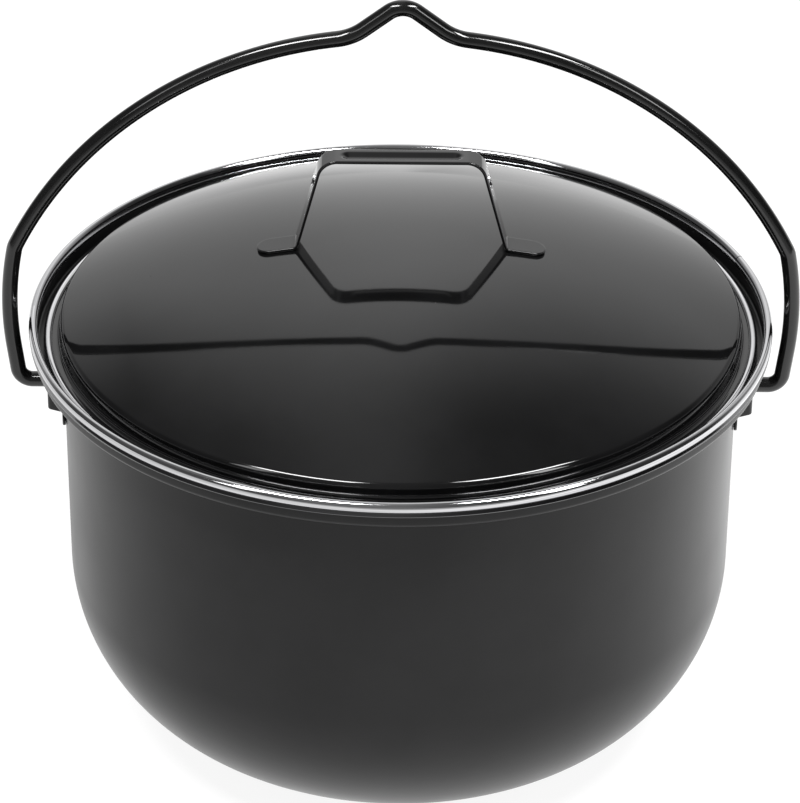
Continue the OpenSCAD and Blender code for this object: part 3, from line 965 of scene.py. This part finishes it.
def soft_box(name, azimuth, elevation, width, height, power, aim):
    """A rectangular soft box. Azimuth is measured from the camera's side, positive to the right."""
    lamp = bpy.data.lights.new(name, "AREA")
    lamp.shape = "RECTANGLE"
    lamp.size, lamp.size_y = width, height
    lamp.energy = power
    light = bpy.data.objects.new(name, lamp)
    bpy.context.scene.collection.objects.link(light)
    level = cos_d(elevation)
    out = Vector((sin_d(azimuth) * level, -cos_d(azimuth) * level, sin_d(elevation)))
    light.location = aim + out * LIGHT_DISTANCE
    light.rotation_euler = (-out).to_track_quat("-Z", "Y").to_euler()


def build_lights():
    """Two broad soft boxes above, and two weak upright ones at the sides."""
    aim = Vector((0, 0, RIM_Z))
    # name, azimuth, elevation, width, height, power in watts
    boxes = (
        ("soft_box_left", -42, 60, 1.0, 0.35, 40),
        ("soft_box_right", 54, 60, 1.1, 0.35, 44),
        ("side_box_left", -50, 35, 0.35, 0.9, 4),
        ("side_box_right", 50, 35, 0.35, 0.9, 9),
    )
    for box in boxes:
        soft_box(*box, aim)


def build_camera():
    """Camera at the photograph's angle: 30.5 degrees above the rim, 1.4 m from its centre."""
    elevation, distance, lift, roll = 30.47, 1.4, -33.34 * MM, 0.46
    ahead = Vector((0, cos_d(elevation), -sin_d(elevation)))
    up = Vector((0, sin_d(elevation), cos_d(elevation)))
    data = bpy.data.cameras.new("camera")
    data.sensor_width = 36.0
    data.lens = 166.2
    data.clip_start, data.clip_end = 0.05, 50.0
    camera = bpy.data.objects.new("camera", data)
    bpy.context.scene.collection.objects.link(camera)
    right = Vector((1, 0, 0)) * cos_d(roll) + up * sin_d(roll)
    above = up * cos_d(roll) - Vector((1, 0, 0)) * sin_d(roll)
    turn = Matrix((right, above, -ahead)).transposed().to_4x4()
    place = Vector((0, 0, RIM_Z)) - ahead * distance + up * lift
    camera.matrix_world = Matrix.Translation(place) @ turn
    bpy.context.scene.camera = camera


def main():
    """Builds the materials, the eight pieces, the studio and the camera."""
    flow = build_enamel_flow()
    polish = build_polish_marks()
    pot_black = enamel(
        "satin_pot_enamel", flow, shade=(0.0035, 0.0035, 0.0037), fleck=(0.006, 0.006, 0.0062),
        roughness=0.32, shine=0.25, wave_h=0.00003, peel_h=0.000004, gloss_change=0.04, pinholes=0.4)
    lid_black = enamel(
        "glossy_lid_enamel", flow, shade=(0.0025, 0.0025, 0.0026), fleck=(0.004, 0.004, 0.0042),
        roughness=0.06, shine=0.5, wave_h=0.000012, peel_h=0.0000012, gloss_change=0.015, pinholes=1.0)
    wire_black = enamel(
        "bail_wire_enamel", flow, shade=(0.003, 0.003, 0.003), fleck=(0.005, 0.005, 0.005),
        roughness=0.11, shine=0.5, wave_h=0.00001, peel_h=0.000002, gloss_change=0.03, pinholes=0.5)
    rim_steel = band_steel("rim_band_steel", polish, dark=(0.36, 0.36, 0.37), pale=(0.68, 0.68, 0.69))
    lid_steel = band_steel("lid_band_steel", polish, dark=(0.42, 0.42, 0.43), pale=(0.80, 0.80, 0.81))
    build_pot(pot_black)
    build_rim_band(rim_steel)
    build_lid(lid_black)
    build_lid_band(lid_steel)
    build_bail(wire_black)
    build_handle(lid_black)
    for side in (-1, 1):
        build_ear(side, pot_black)
    build_floor()
    build_world()
    build_lights()
    build_camera()
    bpy.context.scene.view_settings.view_transform = "Standard"


main()
